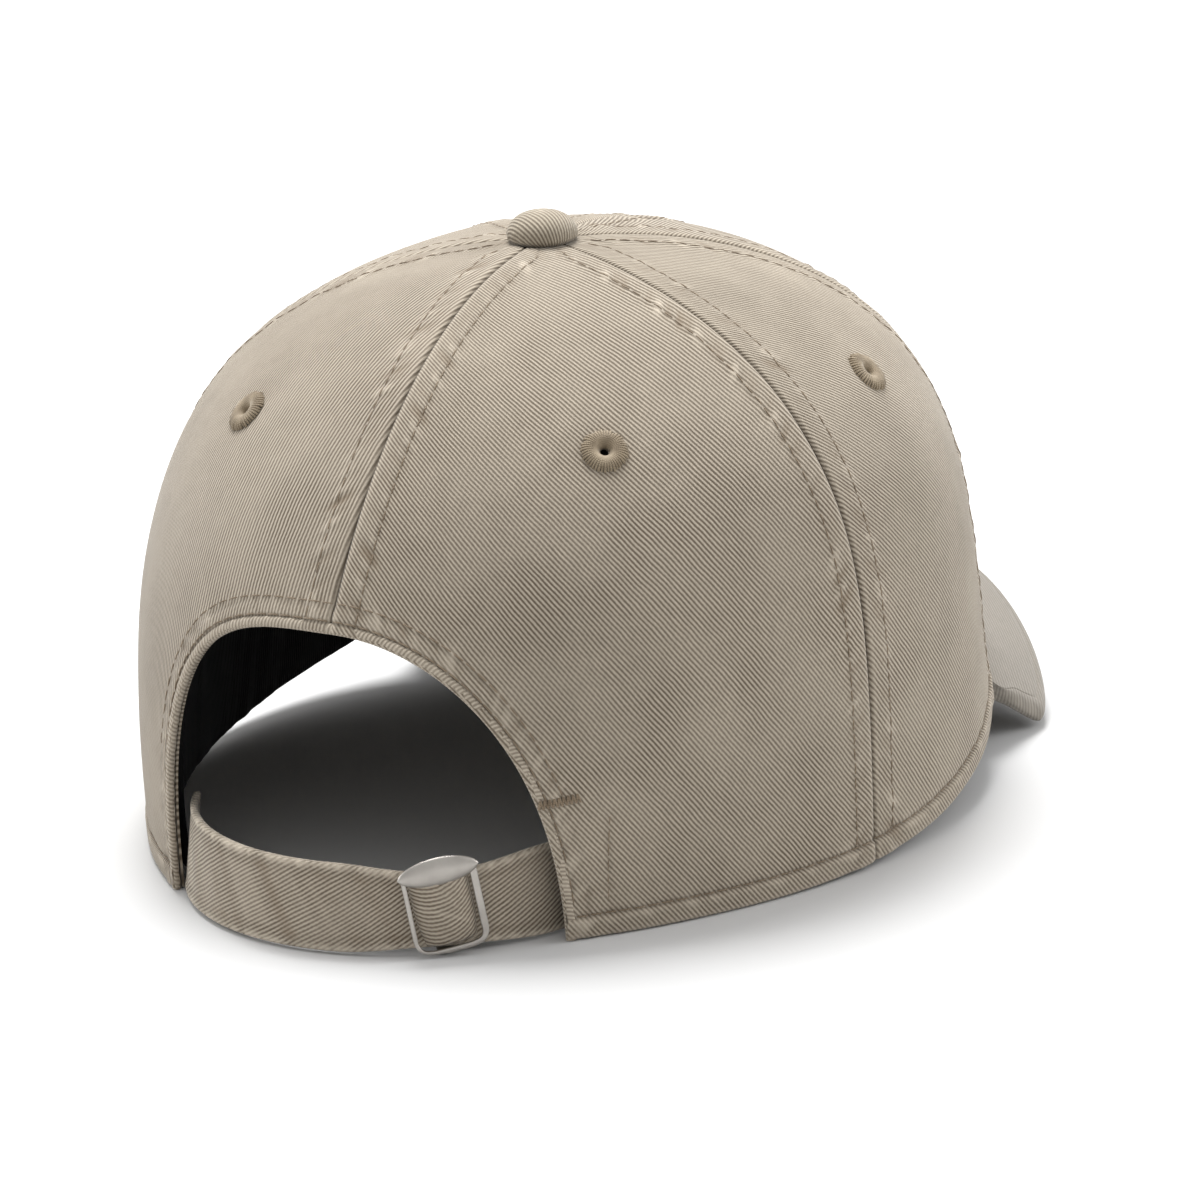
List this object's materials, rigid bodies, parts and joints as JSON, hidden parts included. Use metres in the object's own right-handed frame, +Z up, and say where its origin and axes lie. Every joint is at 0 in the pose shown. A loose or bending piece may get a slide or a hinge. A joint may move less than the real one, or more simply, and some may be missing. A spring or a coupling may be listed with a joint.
{
  "type": "baseball cap",
  "caption": "Cotton twill baseball cap with a panelled crown, curved visor, top button, eyelets and an adjustable back strap with a metal buckle.",
  "frame": {"origin": "middle of the cap's footprint, on the surface that it stands on", "axes": "+Z up, -Y towards the visor's front edge, +X towards the wearer's left"},
  "size_m": [0.1684, 0.2419, 0.1216],
  "materials": {
    "twill": "washed cotton twill, fine diagonal rib",
    "thread": "embroidery thread",
    "lining": "black cotton sweatband and tape",
    "interlining": "woven stiffener",
    "visor_board": "plain board",
    "metal": "satin"
  },
  "bodies": {
    "crown": {"crown_panel_rear_right": "twill", "crown_panel_rear_left": "twill", "crown_panel_side_right": "twill", "crown_panel_side_left": "twill", "crown_panel_front_right": "twill", "crown_panel_front_left": "twill", "eyelet_rear_right": "thread", "eyelet_rear_left": "thread", "eyelet_side_right": "thread", "eyelet_side_left": "thread", "eyelet_front_right": "thread", "eyelet_front_left": "thread", "rear_opening_facing": "twill", "front_stiffener_right": "interlining", "front_stiffener_left": "interlining", "seam_tape_center": "lining", "seam_tape_rear_left_to_front_right": "lining", "seam_tape_rear_right_to_front_left": "lining", "sweatband": "lining", "sweatband_piping": "lining", "sweatband_padding": "interlining", "button_cover": "twill", "button_shell": "metal", "button_rivet": "metal", "visor_top_cover": "twill", "visor_board": "visor_board", "visor_under_cover": "twill", "buckle_tab": "twill"},
    "strap": {"strap": "twill"},
    "buckle": {"buckle": "metal"}
  },
  "joints": [
    {"name": "strap_slide", "type": "hinge", "parent": "crown", "child": "strap", "pos_m": [0, 0.075, 0.009], "axis": [0, 0, 1], "range_deg": [-5, 5]},
    {"name": "buckle_tilt", "type": "hinge", "parent": "crown", "child": "buckle", "pos_m": [-0.02516, 0.1072, 0.01], "axis": [0, 0, 1], "range_deg": [-5, 5]}
  ]
}
